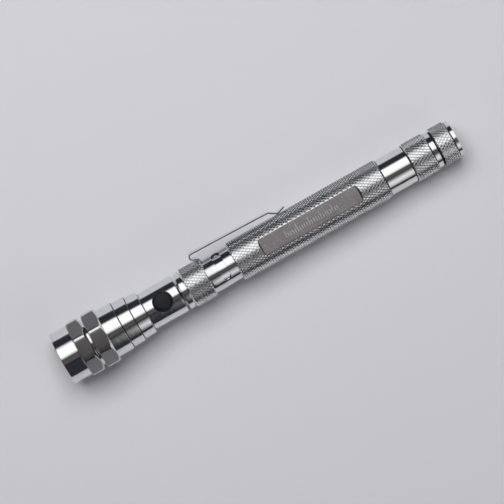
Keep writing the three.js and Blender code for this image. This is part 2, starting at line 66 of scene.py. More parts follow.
SLOT_OF = {part["node"]: part["material_slot"] for part in RECORD["subparts"]}

SIDES = 128
ARC_POINTS = 4
SHARP_ANGLE = math.radians(32)
EDGE = 0.12

# Lamp head.
BEZEL_BORE = 9.6
BEZEL_LIP = {"radius": 8.5, "end": 1.0, "front_radius": 9.2}
OCTAGON_APOTHEM = 11
OCTAGON_CORNER_ROUNDING = 2.0
OCTAGON_RINGS = [(7.4, 12.73), (13.71, 19.53)]
CHAMFER_BASE = 10.9
CHAMFER_RISE = {"front": 2.2, "rear": 1.1}
HEAD_SPIGOT_RADIUS = 9.3
HEAD_GROOVE_RADIUS = 9.6
HEAD_TAPERS = [(19.53, 10.0, 25.95, 9.81), (26.25, 9.44, 31.15, 9.3), (31.45, 8.83, 36.25, 8.64)]
TAPER_GROOVE_RADII = [9.0, 8.4]
CHAMBER = {"radius": 8.65, "end": 12.5}
BATTERY_BORE = 6.4
HEAD_THREAD = {"radius": 7.6, "start": 30.5}
LED_PITCH_RADIUS = 5.85
LED = {"radius": 2.45, "flange_radius": 2.7, "flange_start": 8.7, "hole": 2.55}
MAGNET_HOLE = 2.95

# Knurl: a flat-topped pyramid on each diamond of a lattice of crossing grooves.
KNURL_AROUND = 42
KNURL_TOP_SHARE = 0.6
KNURL_DEPTH = 0.2


def station_of(x):
    return (x - FRONT_X) / MM


def span(node):
    """A turned CAD node's first and last station and its radius."""
    low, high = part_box(node)
    return station_of(low.x), station_of(high.x), (high.y - low.y) / 2 / MM


def at(station, radius, angle):
    """The point of the row frame at a station, radius and angle around the tool's axis."""
    across, up = radius * MM * math.sin(angle), radius * MM * math.cos(angle)
    return Vector((FRONT_X + station * MM, across, AXIS_Z + up))


def away_from_axis(point):
    """A point's distance from the tool's axis, in millimetres."""
    return math.hypot(point.y, point.z - AXIS_Z) / MM


def turn_angles(count):
    return [2 * math.pi * step / count for step in range(count)]


def filleted(before, corner, after, fillet):
    """Points that round a corner of an outline, with a point on each side that keeps the flats flat."""
    here = Vector(corner)
    towards = [Vector(before) - here, Vector(after) - here]
    opening = towards[0].angle(towards[1])
    tangent = min(fillet / math.tan(opening / 2), *(0.36 * side.length for side in towards))
    first, last = (here + side.normalized() * tangent for side in towards)
    arc = []
    for step in range(ARC_POINTS + 1):
        share = step / ARC_POINTS
        arc.append(first * (1 - share) ** 2 + here * 2 * share * (1 - share) + last * share**2)
    hold = [here + side.normalized() * tangent * 1.3 for side in towards]
    return [hold[0], *arc, hold[1]]


def rounded(corners, closed):
    """An outline's points with each (a, b, fillet) corner rounded; an (a, b) corner stays sharp."""
    points = []
    for index, corner in enumerate(corners):
        before = corners[index - 1][:2]
        after = corners[(index + 1) % len(corners)][:2]
        inner = closed or 0 < index < len(corners) - 1
        if len(corner) == 3 and inner:
            points += filleted(before, corner[:2], after, corner[2])
        else:
            points.append(Vector(corner[:2]))
    return points


def mesh_object(name, mesh):
    data = bpy.data.meshes.new(name)
    mesh.to_mesh(data)
    mesh.free()
    piece = bpy.data.objects.new(name, data)
    bpy.context.scene.collection.objects.link(piece)
    return piece


def bridge(mesh, ring, following):
    """Faces between two rings of vertices. A ring of one vertex is a point on the axis."""
    count = max(len(ring), len(following))
    for index in range(count):
        after = (index + 1) % count
        corners = [
            ring[index % len(ring)],
            ring[after % len(ring)],
            following[after % len(following)],
            following[index % len(following)],
        ]
        distinct = list(dict.fromkeys(corners))
        mesh.faces.new(distinct)


def skin(name, rings, closed):
    """A surface through rings of points, from the first to the last, or round to the first again."""
    mesh = bmesh.new()
    rows = [[mesh.verts.new(point) for point in ring] for ring in rings]
    for ring, following in zip(rows, rows[1:] + rows[:1] if closed else rows[1:]):
        bridge(mesh, ring, following)
    bmesh.ops.recalc_face_normals(mesh, faces=mesh.faces)
    return mesh_object(name, mesh)


def shade(piece, sharp_angle=SHARP_ANGLE):
    piece.data.shade_smooth()
    piece.data.set_sharp_from_angle(angle=sharp_angle)
    return piece


def turned(name, corners, sides=SIDES, place=at):
    """A turned piece. Its outline is closed on itself, or starts and ends on the axis with radius 0.
    corners may be a function of the angle, where the piece isn't round."""
    angles = sides if isinstance(sides, list) else turn_angles(sides)
    outlines = []
    for angle in angles:
        here = corners(angle) if callable(corners) else corners
        outlines.append(rounded(here, closed=here[0][1] > 0))
    rings = []
    for row in range(len(outlines[0])):
        points = [place(*outline[row], angle) for outline, angle in zip(outlines, angles)]
        rings.append(points if outlines[0][row][1] > 1e-6 else points[:1])
    return shade(skin(name, rings, closed=outlines[0][0][1] > 1e-6))


def tube_corners(start, end, inner, outer, edge=EDGE):
    return [(start, inner, edge), (start, outer, edge), (end, outer, edge), (end, inner, edge)]


def rod_corners(start, end, radius, edge=EDGE):
    return [(start, 0), (start, radius, edge), (end, radius, edge), (end, 0)]


def evaluated(piece):
    """Makes a piece's modifiers final."""
    graph = bpy.context.evaluated_depsgraph_get()
    final = bpy.data.meshes.new_from_object(piece.evaluated_get(graph))
    piece.modifiers.clear()
    piece.data = final
    return piece


def carved(piece, *cutters):
    for cutter in cutters:
        cut = piece.modifiers.new("cut", "BOOLEAN")
        cut.operation = "DIFFERENCE"
        cut.solver = "EXACT"
        cut.object = cutter
    evaluated(piece)
    for cutter in cutters:
        bpy.data.objects.remove(cutter)
    return shade(piece)


def softened(piece, width, angle=40):
    """Bevels a piece's sharp edges."""
    bevel = piece.modifiers.new("edges", "BEVEL")
    bevel.width = width * MM
    bevel.segments = 2
    bevel.limit_method = "ANGLE"
    bevel.angle_limit = math.radians(angle)
    return shade(evaluated(piece))


def prism(name, outline, depth, place):
    """A solid between two copies of an outline. place takes the outline's two numbers and the depth."""
    rings = [[place(a, b, end) for a, b in outline] for end in depth]
    mesh = bmesh.new()
    rows = [[mesh.verts.new(point) for point in ring] for ring in rings]
    bridge(mesh, *rows)
    for row in rows:
        mesh.faces.new(row)
    bmesh.ops.recalc_face_normals(mesh, faces=mesh.faces)
    return mesh_object(name, mesh)


def beside_axis(station, height, across):
    """A point by its height above the tool's axis and its distance towards +Y."""
    return Vector((FRONT_X + station * MM, across * MM, AXIS_Z + height * MM))


def round_normals(piece, smallest, largest):
    """Outer faces between two radii are shaded as a true turned surface, however a hole cuts them up."""
    data = piece.data
    normals = [Vector()] * len(data.loops)
    for face in data.polygons:
        places = [data.vertices[index].co for index in face.vertices]
        outward = [Vector((0, place.y, place.z - AXIS_Z)) for place in places]
        within = all(smallest * MM < normal.length < largest * MM for normal in outward)
        if within and face.normal.dot(outward[0].normalized()) > 0.98:
            slope = Vector((face.normal.x, 0, 0))
            for loop, normal in zip(face.loop_indices, outward):
                normals[loop] = (normal.normalized() + slope).normalized()
    data.normals_split_custom_set(normals)


def block(name, stations, heights, sides):
    """A box between two stations, two heights above the axis and two distances beside it."""
    front, rear = stations
    bottom, top = heights
    outline = [(front, bottom), (rear, bottom), (rear, top), (front, top)]
    return prism(name, outline, sides, beside_axis)


# ---------------------------------------------------------------- materials


class Finish:
    """A material under construction: a Principled surface, and short calls for the nodes behind it."""

    def __init__(self, name, color, roughness, metallic=0.0, **sockets):
        self.material = bpy.data.materials.new(name)
        self.material.use_nodes = True
        self.tree = self.material.node_tree
        self.surface = self.tree.nodes["Principled BSDF"]
        self.put("Base Color", (*color, 1))
        self.put("Roughness", roughness)
        self.put("Metallic", metallic)
        for socket, value in sockets.items():
            self.put(socket.replace("_", " ").title().replace("Ior", "IOR"), value)
        self.place = self.add("ShaderNodeTexCoord").outputs["Object"]

    def put(self, socket, value):
        self.fill(self.surface.inputs[socket], value)

    def fill(self, socket, value):
        if isinstance(value, bpy.types.NodeSocket):
            self.tree.links.new(value, socket)
        else:
            socket.default_value = value

    def add(self, kind, inputs=None, **settings):
        node = self.tree.nodes.new(kind)
        for setting, value in settings.items():
            setattr(node, setting, value)
        for socket, value in (inputs or {}).items():
            self.fill(node.inputs[socket], value)
        return node

    def noise(self, stretch, turn=0.0, detail=3.0):
        """Noise with the given number of features per metre along X, Y and Z."""
        rotation = (0, 0, math.radians(turn))
        placing = {"Vector": self.place, "Rotation": rotation, "Scale": stretch}
        mapping = self.add("ShaderNodeMapping", placing)
        pattern = {"Vector": mapping.outputs[0], "Scale": 1.0, "Detail": detail}
        texture = self.add("ShaderNodeTexNoise", pattern)
        return texture.outputs["Fac"]

    def spread(self, value, low, high, start=0.35, end=0.65):
        """Maps a noise value from start..end to low..high."""
        limits = {"Value": value, "From Min": start, "From Max": end, "To Min": low, "To Max": high}
        return self.add("ShaderNodeMapRange", limits).outputs[0]

    def plus(self, first, second):
        return self.add("ShaderNodeMath", {0: first, 1: second}, operation="ADD", use_clamp=True).outputs[0]

    def mixed(self, factor, first, second):
        colors = {"Fac": factor, "Color1": (*first, 1), "Color2": (*second, 1)}
        return self.add("ShaderNodeMixRGB", colors).outputs[0]

    def relief(self, height, depth, under=None):
        """Bump of a depth in metres, on top of another bump."""
        inputs = {"Height": height, "Strength": 1.0, "Distance": depth}
        if under is not None:
            inputs["Normal"] = under
        return self.add("ShaderNodeBump", inputs).outputs[0]


def darker(color, share):
    return tuple(channel * share for channel in color)


def machined_metal(name, color, roughness, marks, mark_depth=0.5e-6, film=0.5, **sockets):
    """Bare metal: cutting marks in one direction, fine scratches, and the film that handling leaves."""
    finish = Finish(name, color, roughness, 1.0, **sockets)
    lines = finish.noise(marks, detail=4.0)
    handling = finish.noise((170, 170, 170))
    scratches = finish.noise((2600, 170, 900), turn=24, detail=2.0)
    worn = finish.spread(scratches, 0.0, 0.08, 0.66, 0.74)
    base = finish.spread(handling, roughness, roughness * (1 + film))
    grain = finish.spread(lines, -0.015, 0.03)
    finish.put("Roughness", finish.plus(finish.plus(base, grain), worn))
    touched = finish.spread(handling, 0.0, 1.0, 0.3, 0.7)
    finish.put("Base Color", finish.mixed(touched, color, darker(color, 0.93)))
    finish.put("Normal", finish.relief(lines, mark_depth))
    return finish.material


TURNING = (15000, 60, 60)
DRAWING = (60, 9000, 9000)
SANDING = (500, 7000, 7000)


def polished_metal():
    return machined_metal("polished_metal", (0.83, 0.84, 0.86), 0.07, TURNING, 0.4e-6)


def drawn_metal():
    return machined_metal("drawn_metal", (0.82, 0.83, 0.85), 0.1, DRAWING, 0.4e-6)


def satin_metal():
    return machined_metal("satin_metal", (0.7, 0.66, 0.68), 0.09, TURNING, 0.8e-6, film=0.25)


def coarse_painted_shade_metal():
    """The octagon's slanting flats: coarser than its other flats, with painted shade making them darker."""
    return machined_metal("coarse_painted_shade_metal", (0.44, 0.43, 0.44), 0.3, TURNING, 1.6e-6, film=0.25)


def painted_groove_shade():
    """The floors and walls of narrow grooves: duller than the rest, and nearly black, a painted shade in
    the grooves.
    """
    return machined_metal("painted_groove_shade", (0.1, 0.1, 0.105), 0.4, TURNING, 1.2e-6)


def knurled_metal():
    return machined_metal("knurled_metal", (0.88, 0.89, 0.91), 0.17, TURNING, 0.4e-6)


def milled_metal():
    return machined_metal("milled_metal", (0.7, 0.67, 0.69), 0.21, SANDING, 1.2e-6, film=0.25)


def marked_metal():
    finish = Finish("marked_metal", (0.8, 0.8, 0.78), 0.55, 0.8)
    grain = finish.noise((9000, 9000, 9000))
    finish.put("Roughness", finish.spread(grain, 0.45, 0.7))
    finish.put("Normal", finish.relief(grain, 4e-6))
    return finish.material


def spring_steel():
    return machined_metal("spring_steel", (0.78, 0.79, 0.82), 0.08, (300, 4000, 4000), 0.3e-6)


def magnet_plating():
    return machined_metal("magnet_plating", (0.68, 0.67, 0.66), 0.16, (1500, 1500, 1500), 1.0e-6)


def cell_steel():
    return machined_metal("cell_steel", (0.66, 0.66, 0.66), 0.24, (900, 900, 900), 1.0e-6)


def brass():
    return machined_metal("brass", (0.72, 0.53, 0.25), 0.22, TURNING, 0.8e-6)


def solder():
    return machined_metal("solder", (0.72, 0.73, 0.75), 0.3, (2500, 2500, 2500), 2e-6)


def black_rubber():
    finish = Finish("black_rubber", (0.009, 0.01, 0.014), 0.5, specular_ior_level=0.35)
    grain = finish.noise((5200, 5200, 5200))
    dust = finish.noise((420, 420, 420), detail=5.0)
    clean, dusty = (0.006, 0.007, 0.01), (0.013, 0.015, 0.02)
    finish.put("Base Color", finish.mixed(finish.spread(dust, 0, 1), clean, dusty))
    finish.put("Roughness", finish.spread(dust, 0.45, 0.62))
    finish.put("Normal", finish.relief(grain, 12e-6))
    return finish.material


def moulded_plastic(name, color, roughness):
    finish = Finish(name, color, roughness)
    grain = finish.noise((6000, 6000, 6000))
    flow = finish.noise((260, 260, 260))
    finish.put("Base Color", finish.mixed(finish.spread(flow, 0, 1), color, darker(color, 0.86)))
    finish.put("Roughness", finish.spread(grain, roughness - 0.06, roughness + 0.08))
    finish.put("Normal", finish.relief(grain, 5e-6))
    return finish.material


def circuit_board():
    """Green solder mask with the traces under it showing as paler lines."""
    finish = Finish("circuit_board", (0.02, 0.13, 0.05), 0.35)
    weave = {"Vector": finish.place, "Scale": 900.0}
    cells = finish.add("ShaderNodeTexVoronoi", weave, distance="CHEBYCHEV")
    traces = finish.spread(cells.outputs["Distance"], 0, 1, 0.3, 0.36)
    finish.put("Base Color", finish.mixed(traces, (0.015, 0.1, 0.04), (0.05, 0.22, 0.09)))
    finish.put("Roughness", finish.spread(finish.noise((1200, 1200, 1200)), 0.28, 0.45))
    finish.put("Normal", finish.relief(traces, 15e-6))
    return finish.material


def clear_epoxy():
    finish = Finish("clear_epoxy", (0.95, 0.97, 1.0), 0.04, transmission_weight=1.0, ior=1.53)
    finish.put("Roughness", finish.spread(finish.noise((700, 700, 700)), 0.03, 0.09))
    finish.put("Normal", finish.relief(finish.noise((2500, 2500, 2500)), 0.5e-6))
    return finish.material


def phosphor():
    finish = Finish("phosphor", (0.85, 0.6, 0.08), 0.6)
    grain = finish.noise((8000, 8000, 8000))
    pale, deep = (0.85, 0.6, 0.08), (0.7, 0.45, 0.04)
    finish.put("Base Color", finish.mixed(finish.spread(grain, 0, 1), pale, deep))
    return finish.material


MATERIALS = {
    "polished_metal": polished_metal(),
    "drawn_metal": drawn_metal(),
    "satin_metal": satin_metal(),
    "coarse_painted_shade_metal": coarse_painted_shade_metal(),
    "painted_groove_shade": painted_groove_shade(),
    "knurled_metal": knurled_metal(),
    "milled_metal": milled_metal(),
    "marked_metal": marked_metal(),
    "spring_steel": spring_steel(),
    "magnet_plating": magnet_plating(),
    "cell_steel": cell_steel(),
    "brass": brass(),
    "solder": solder(),
    "black_rubber": black_rubber(),
    "circuit_board": circuit_board(),
    "white_plastic": moulded_plastic("white_plastic", (0.78, 0.78, 0.75), 0.42),
    "dark_plastic": moulded_plastic("dark_plastic", (0.03, 0.03, 0.034), 0.45),
    "clear_epoxy": clear_epoxy(),
    "phosphor": phosphor(),
}


def paint(piece, *names):
    piece.data.materials.clear()
    for name in names:
        piece.data.materials.append(MATERIALS[name])
    return piece


def paint_where(piece, index, test):
    """Gives the faces that pass the test the piece's material of that index."""
    for face in piece.data.polygons:
        if test(face):
            face.material_index = index


def install(piece, *nodes, finish=None):
    """The piece takes the place of CAD nodes, rides on their body and has their material."""
    slot = SLOT_OF[nodes[0]]
    if not piece.data.materials:
        paint(piece, finish or slot)
    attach(piece, BODY_OF[nodes[0]])
    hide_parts(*nodes)
    return piece


def fitted(piece, node, finish):
    """A further piece of what a CAD node stands for."""
    paint(piece, finish)
    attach(piece, BODY_OF[node])
    return piece


# ---------------------------------------------------------------- lamp head


def front_bezel():
    start, end, radius = span("front_bezel")
    lip = BEZEL_LIP
    corners = [
        (start, lip["front_radius"], 0.06),
        (start, radius, 0.3),
        (end, radius, EDGE),
        (end, BEZEL_BORE, EDGE / 2),
        (lip["end"], BEZEL_BORE),
        (lip["end"], lip["radius"]),
        (lip["end"] / 2, lip["radius"], 0.06),
    ]
    install(turned("front_bezel_sleeve", corners), "front_bezel")


def octagon_radius(angle):
    """Distance from the axis to an octagonal ring's surface, with its corners slightly rounded."""
    from_flat = (angle + math.pi / 8) % (math.pi / 4) - math.pi / 8
    inner_apothem = OCTAGON_APOTHEM - OCTAGON_CORNER_ROUNDING
    tangent_angle = math.atan(inner_apothem * math.tan(math.pi / 8) / OCTAGON_APOTHEM)
    if abs(from_flat) <= tangent_angle:
        return OCTAGON_APOTHEM / math.cos(from_flat)
    from_corner = math.pi / 8 - abs(from_flat)
    centre = inner_apothem / math.cos(math.pi / 8)
    return centre * math.cos(from_corner) + math.sqrt(
        OCTAGON_CORNER_ROUNDING**2 - (centre * math.sin(from_corner)) ** 2
    )


def octagon_angles():
    """Angles around an octagonal ring, closer together at its corners."""
    near_corner = [22.5, 21.7, 20.9, 20.1, 19.3, 18.6]
    across_flat = [14, 9.3, 4.7]
    half = near_corner + across_flat
    offsets = [-angle for angle in half] + [0] + half[::-1][:-1]
    return [math.radians(45 * flat + offset) for flat in range(8) for offset in offsets]


def octagon_ring_corners(start, end, angle):
    surface = octagon_radius(angle)
    front = start + (surface - CHAMFER_BASE) / CHAMFER_RISE["front"]
    rear = end - (surface - CHAMFER_BASE) / CHAMFER_RISE["rear"]
    return [
        (start, CHAMFER_BASE),
        (front, surface, 0.05),
        (rear, surface, 0.05),
        (end, CHAMFER_BASE),
    ]


def shell_corners(angle):
    first, second = OCTAGON_RINGS
    taper_a, taper_b, taper_c = HEAD_TAPERS
    spigot_start = span("lamp_head_shell")[0]
    steps = []
    for taper, next_taper, groove in zip(HEAD_TAPERS, HEAD_TAPERS[1:], TAPER_GROOVE_RADII):
        start, front, end, rear = taper
        steps += [(start, front, 0.08), (end, rear, 0.1), (end, groove), (next_taper[0], groove)]
    return [
        (spigot_start, CHAMBER["radius"], EDGE / 2),
        (spigot_start, HEAD_SPIGOT_RADIUS, EDGE),
        (first[0], HEAD_SPIGOT_RADIUS),
        *octagon_ring_corners(*first, angle),
        (first[1], HEAD_GROOVE_RADIUS, 0.2),
        (second[0], HEAD_GROOVE_RADIUS, 0.2),
        *octagon_ring_corners(*second, angle),
        *steps,
        (taper_c[0], taper_c[1], 0.08),
        (taper_c[2], taper_c[3], 0.15),
        (taper_c[2], HEAD_THREAD["radius"], EDGE),
        (HEAD_THREAD["start"], HEAD_THREAD["radius"]),
        (HEAD_THREAD["start"], BATTERY_BORE),
        (CHAMBER["end"], BATTERY_BORE),
        (CHAMBER["end"], CHAMBER["radius"]),
    ]


def lamp_head_shell():
    piece = turned("lamp_head_casing", shell_corners, sides=octagon_angles())
    paint(piece, "polished_metal", "satin_metal", "painted_groove_shade", "coarse_painted_shade_metal")
    axis = Vector((0, 0, AXIS_Z))

    def on_flat(face):
        away = face.center - axis
        away.x = 0
        return away.length > (OCTAGON_APOTHEM - 0.01) * MM and abs(face.normal.x) < 0.02

    def in_groove(face):
        station = station_of(face.center.x)
        between_tapers = any(abs(station - taper[2] - 0.15) < 0.16 for taper in HEAD_TAPERS[:2])
        return between_tapers and away_from_axis(face.center) > min(TAPER_GROOVE_RADII) - 0.1

    paint_where(piece, 1, on_flat)
    # Painted shade: the slanting flats get the darker, coarser copy of the flats' metal.
    paint_where(piece, 3, lambda face: on_flat(face) and 0.6 < abs(face.normal.z) < 0.8)
    # Painted shade: the grooves between the tapers are painted near black.
    paint_where(piece, 2, in_groove)
    install(piece, "lamp_head_shell")


LEG_TURN = math.radians(12.5)


def led_places():
    return [(LED_PITCH_RADIUS, angle) for angle in turn_angles(3)]


def off_axis(radius_out, direction):
    """A place function for pieces turned around a line beside the tool's axis."""
    centre = at(0, radius_out, direction) - at(0, 0, 0)
    return lambda station, radius, angle: at(station, radius, angle) + centre


def led_plate():
    start, end, radius = span("led_plate")
    rim = 0.35
    corners = [
        (start, MAGNET_HOLE, 0.08),
        (start, radius - 3 * rim, 0.05),
        (start + rim, radius - 2 * rim, 0.05),
        (start + rim, radius, EDGE),
        (end, radius, EDGE),
        (end, MAGNET_HOLE, 0.08),
    ]
    plate = turned("lamp_plate", corners)
    holes = []
    for radius_out, direction in led_places():
        hole = rod_corners(start - 1, end + 1, LED["hole"], edge=0.01)
        holes.append(turned("lamp_hole", hole, sides=48, place=off_axis(radius_out, direction)))
    install(softened(carved(plate, *holes), 0.06), "led_plate")


def led_dome(tip):
    """The rounded front of a lamp, from its tip on the axis."""
    steps = 10
    angles = [math.pi / 2 * step / steps for step in range(steps + 1)]
    return [(tip + LED["radius"] * (1 - math.cos(a)), LED["radius"] * math.sin(a)) for a in angles]


def led(index, place):
    node = f"led_{index}"
    tip, end, _ = span(node)
    corners = [
        *led_dome(tip),
        (LED["flange_start"], LED["radius"]),
        (LED["flange_start"], LED["flange_radius"], 0.06),
        (end, LED["flange_radius"], 0.06),
        (end, 0),
    ]
    install(turned(f"lamp_lens_{index}", corners, sides=48, place=place), node)
    cup_start = tip + 3.6
    cup = [
        (end - 0.3, 0),
        (end - 0.3, 0.7, 0.1),
        (cup_start + 0.9, 0.9, 0.1),
        (cup_start, 1.3, 0.04),
        (cup_start, 1.1, 0.04),
        (cup_start + 0.7, 0.6, 0.05),
        (cup_start + 0.7, 0),
    ]
    fitted(turned(f"lamp_cup_{index}", cup, sides=32, place=place), node, "solder")
    die = rod_corners(cup_start + 0.35, cup_start + 0.65, 0.45, edge=0.08)
    fitted(turned(f"lamp_die_{index}", die, sides=24, place=place), node, "phosphor")


def front_magnet():
    install(turned("pickup_magnet", rod_corners(*span("front_magnet"), edge=0.3)), "front_magnet")


def led_circuit_board():
    start, end, radius = span("led_circuit_board")
    board = turned("lamp_board", rod_corners(start, end - 0.35, radius, edge=0.05))
    paint(board, "circuit_board")
    install(board, "led_circuit_board")
    contact = turned("lamp_board_contact", tube_corners(end - 0.3, end - 0.05, 2.2, 4.6, 0.05))
    fitted(contact, "led_circuit_board", "solder")
    joint = [
        (end - 0.33, 0),
        (end - 0.33, 0.6, 0.05),
        (end - 0.22, 0.5, 0.1),
        (end - 0.05, 0.2, 0.1),
        (end - 0.05, 0),
    ]
    for number, (radius_out, direction) in enumerate(led_places(), start=1):
        for side in (-1, 1):
            place = off_axis(radius_out, direction + side * LEG_TURN)
            name = f"solder_joint_{number}_{'low' if side < 0 else 'high'}"
            fitted(turned(name, joint, sides=24, place=place), "led_circuit_board", "solder")


def contact_spring(node, name, large, small, turns):
    """A conical spring: its wide end in front, and both its end coils closed up."""
    start, end, _ = span(node)
    wire = 0.28
    steps_per_turn = 36
    count = round(turns * steps_per_turn)
    lead = 0.25
    rings = []
    for step in range(count + 1):
        share = step / count
        rise = min(max((share - lead / turns) / (1 - 2 * lead / turns), 0), 1)
        station = start + wire + (end - start - 2 * wire) * rise
        angle = 2 * math.pi * turns * share
        radius = large + (small - large) * share
        narrow = 0.3 if step in (0, count) else 1
        ring = []
        for turn in turn_angles(12):
            along, outward = narrow * wire * math.sin(turn), narrow * wire * math.cos(turn)
            ring.append(at(station + along, radius + outward, angle))
        rings.append(ring)
    caps = [[sum(rings[end_index], Vector()) / 12] for end_index in (0, -1)]
    install(shade(skin(name, [caps[0], *rings, caps[1]], closed=False)), node)


def battery_sleeve():
    start, end, radius = span("battery_sleeve")
    install(turned("cell_sleeve", tube_corners(start, end, 5.95, radius, 0.05)), "battery_sleeve")


def battery_cell(index):
    """A button cell: the narrow cap in front, a sealing ring, and the wide can crimped over it."""
    node = f"battery_cell_{index}"
    start, end, radius = span(node)
    cap_radius, seal_radius, shoulder = 4.7, 4.95, start + 0.6
    corners = [
        (start, 0),
        (start, cap_radius - 0.1, 0.35),
        (start + 0.35, cap_radius),
        (start + 0.35, seal_radius),
        (shoulder, seal_radius + 0.1),
        (shoulder - 0.12, seal_radius + 0.3, 0.05),
        (shoulder, radius, 0.35),
        (end, radius, 0.3),
        (end, 0),
    ]
    cell = paint(turned(f"button_cell_{index}", corners), "cell_steel", "dark_plastic")
    low, high = FRONT_X + (start + 0.34) * MM, FRONT_X + (shoulder + 0.01) * MM

    def on_seal(face):
        away = math.hypot(face.center.y, face.center.z - AXIS_Z) / MM
        return low < face.center.x < high and cap_radius < away < seal_radius + 0.12

    paint_where(cell, 1, on_seal)
    install(cell, node)


# ---------------------------------------------------------------- switch barrel


def thread(start, end, crest, root, pitch):
    """Outline points of a thread, as a function of the angle, that fades out at both ends."""
    per_pitch = 8
    count = round((end - start) / pitch * per_pitch)

    def points(angle):
        found = []
        for step in range(count + 1):
            station = start + (end - start) * step / count
            phase = ((station - start) / pitch - angle / (2 * math.pi)) % 1
            fade = min(1, (station - start) / pitch, (end - station) / pitch)
            height = 1 - abs(2 * phase - 1)
            found.append((station, root + (crest - root) * (fade * min(1, 1.3 * height))))
        return found

    return points


def o_ring(node, name):
    start, end, radius = span(node)
    inner = {"head_o_ring": 6.95, "tail_o_ring": 6.1}[node]
    install(turned(name, tube_corners(start, end, inner, radius, 0.4)), node)


BUTTON = {"station": 43.7, "roll": math.radians(5.5), "radius": 3.86, "hole": 3.98}


def around_button(height, radius, angle):
    """A place function for pieces turned around the button's axis."""
    up = Vector((0, math.sin(BUTTON["roll"]), math.cos(BUTTON["roll"])))
    along = Vector((1, 0, 0))
    across = up.cross(along)
    centre = at(BUTTON["station"], 0, 0) + up * height * MM
    return centre + (along * math.cos(angle) + across * math.sin(angle)) * radius * MM


def switch_barrel():
    start, end, radius = span("switch_barrel")
    spigot, bore, shoulder = 7.35, 6.35, 36.4
    ring_start, ring_end, _ = span("head_o_ring")
    groove = 6.9
    threads = thread(start + 0.5, ring_start - 0.8, spigot, spigot - 0.45, 1.0)

    def corners(angle):
        return [
            (start, bore, 0.05),
            (start, spigot - 0.5, 0.1),
            *threads(angle),
            (ring_start - 0.5, spigot, 0.05),
            (ring_start - 0.1, spigot),
            (ring_start - 0.1, groove),
            (ring_end + 0.1, groove),
            (ring_end + 0.1, spigot),
            (shoulder, spigot),
            (shoulder + 0.15, radius, 0.12),
            (end, radius, 0.25),
            (end, 3.9, 0.1),
            (49.3, 3.9),
            (49.3, bore),
        ]

    barrel = turned("switch_housing", corners)
    hole_corners = rod_corners(3, radius + 1, BUTTON["hole"], 0.01)
    hole = turned("button_hole", hole_corners, sides=96, place=around_button)
    housing = softened(carved(barrel, hole), 0.07, angle=50)
    paint(housing, "polished_metal", "painted_groove_shade")
    # Painted shade: the barrel's rear end face is painted near black.
    paint_where(housing, 1, lambda face: face.normal.x > 0.9 and station_of(face.center.x) > end - 0.1)
    round_normals(housing, radius - 0.004, radius + 0.004)
    install(housing, "switch_barrel")


def switch_button():
    shoulder, top, flange = 7.45, 8.25, 4.45
    dome_steps = 8
    dome = []
    for step in range(dome_steps + 1):
        share = step / dome_steps
        dome.append((top - (top - shoulder) * (1 - math.sqrt(1 - share**2.6)), BUTTON["radius"] * share))
    corners = [
        (3.5, 0),
        (3.5, flange, 0.1),
        (4.1, flange, 0.1),
        (4.3, BUTTON["radius"], 0.1),
        (shoulder - 0.2, BUTTON["radius"], 0.1),
        *reversed(dome),
    ]
    install(turned("push_button", corners, sides=96, place=around_button), "switch_button")


def switch_plunger():
    corners = rod_corners(2.75, 3.3, 1.5, 0.1)
    install(turned("button_plunger", corners, sides=48, place=around_button), "switch_plunger")


def box_of(node):
    """A CAD node's stations, heights above the axis, and half width."""
    low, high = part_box(node)
    heights = ((low.z - AXIS_Z) / MM, (high.z - AXIS_Z) / MM)
    return (station_of(low.x), station_of(high.x)), heights, high.y / MM


def switch_module():
    """A tactile switch: a moulded body, a metal cover and four legs."""
    (start, end), (bottom, top), half = box_of("switch_module")
    body_sides = (0.3 - half, half - 0.3)
    body = block("tactile_switch", (start + 0.15, end - 0.15), (bottom, top - 0.3), body_sides)
    install(softened(body, 0.2), "switch_module")
    cover = block("switch_cover", (start + 0.05, end - 0.05), (top - 0.28, top), (-half, half))
    fitted(softened(cover, 0.1), "switch_module", "solder")
    legs = [(station, side) for station in (start + 0.7, end - 1.4) for side in (-1, 1)]
    for number, (station, side) in enumerate(legs, start=1):
        sides = sorted((side * (half - 0.28), side * half))
        leg = block(f"switch_leg_{number}", (station, station + 0.7), (bottom, bottom + 1.4), sides)
        fitted(softened(leg, 0.06), "switch_module", "solder")


def switch_circuit_board():
    """The board under the switch, with two chip resistors."""
    (start, end), (bottom, top), half = box_of("switch_circuit_board")
    board = block("switch_board", (start, end), (bottom, top), (-half, half))
    install(softened(board, 0.08), "switch_circuit_board")
    chip_heights = (top + 0.02, top + 0.45)
    for number, side in enumerate((-1, 1), start=1):
        middle = side * (half - 1.1)
        chip_sides = (middle - 0.4, middle + 0.4)
        for part, (first, last), finish in (
            ("body", (1.4, 2.6), "dark_plastic"),
            ("front_end", (1.0, 1.38), "solder"),
            ("rear_end", (2.62, 3.0), "solder"),
        ):
            stations = (start + first, start + last)
            chip = block(f"resistor_{number}_{part}", stations, chip_heights, chip_sides)
            fitted(softened(chip, 0.06), "switch_circuit_board", finish)


# ---------------------------------------------------------------- neck and telescope


def neck_anchor_plug():
    start, end, flange = span("neck_anchor_plug")
    corners = [
        (start, 1.2, 0.05),
        (start, flange, 0.12),
        (start + 0.75, flange, 0.12),
        (start + 0.75, 3.6, 0.1),
        (end, 3.6, 0.2),
        (end, 2.35, 0.05),
        (start + 0.2, 2.35),
        (start + 0.2, 1.2),
    ]
    install(turned("neck_plug", corners), "neck_anchor_plug")


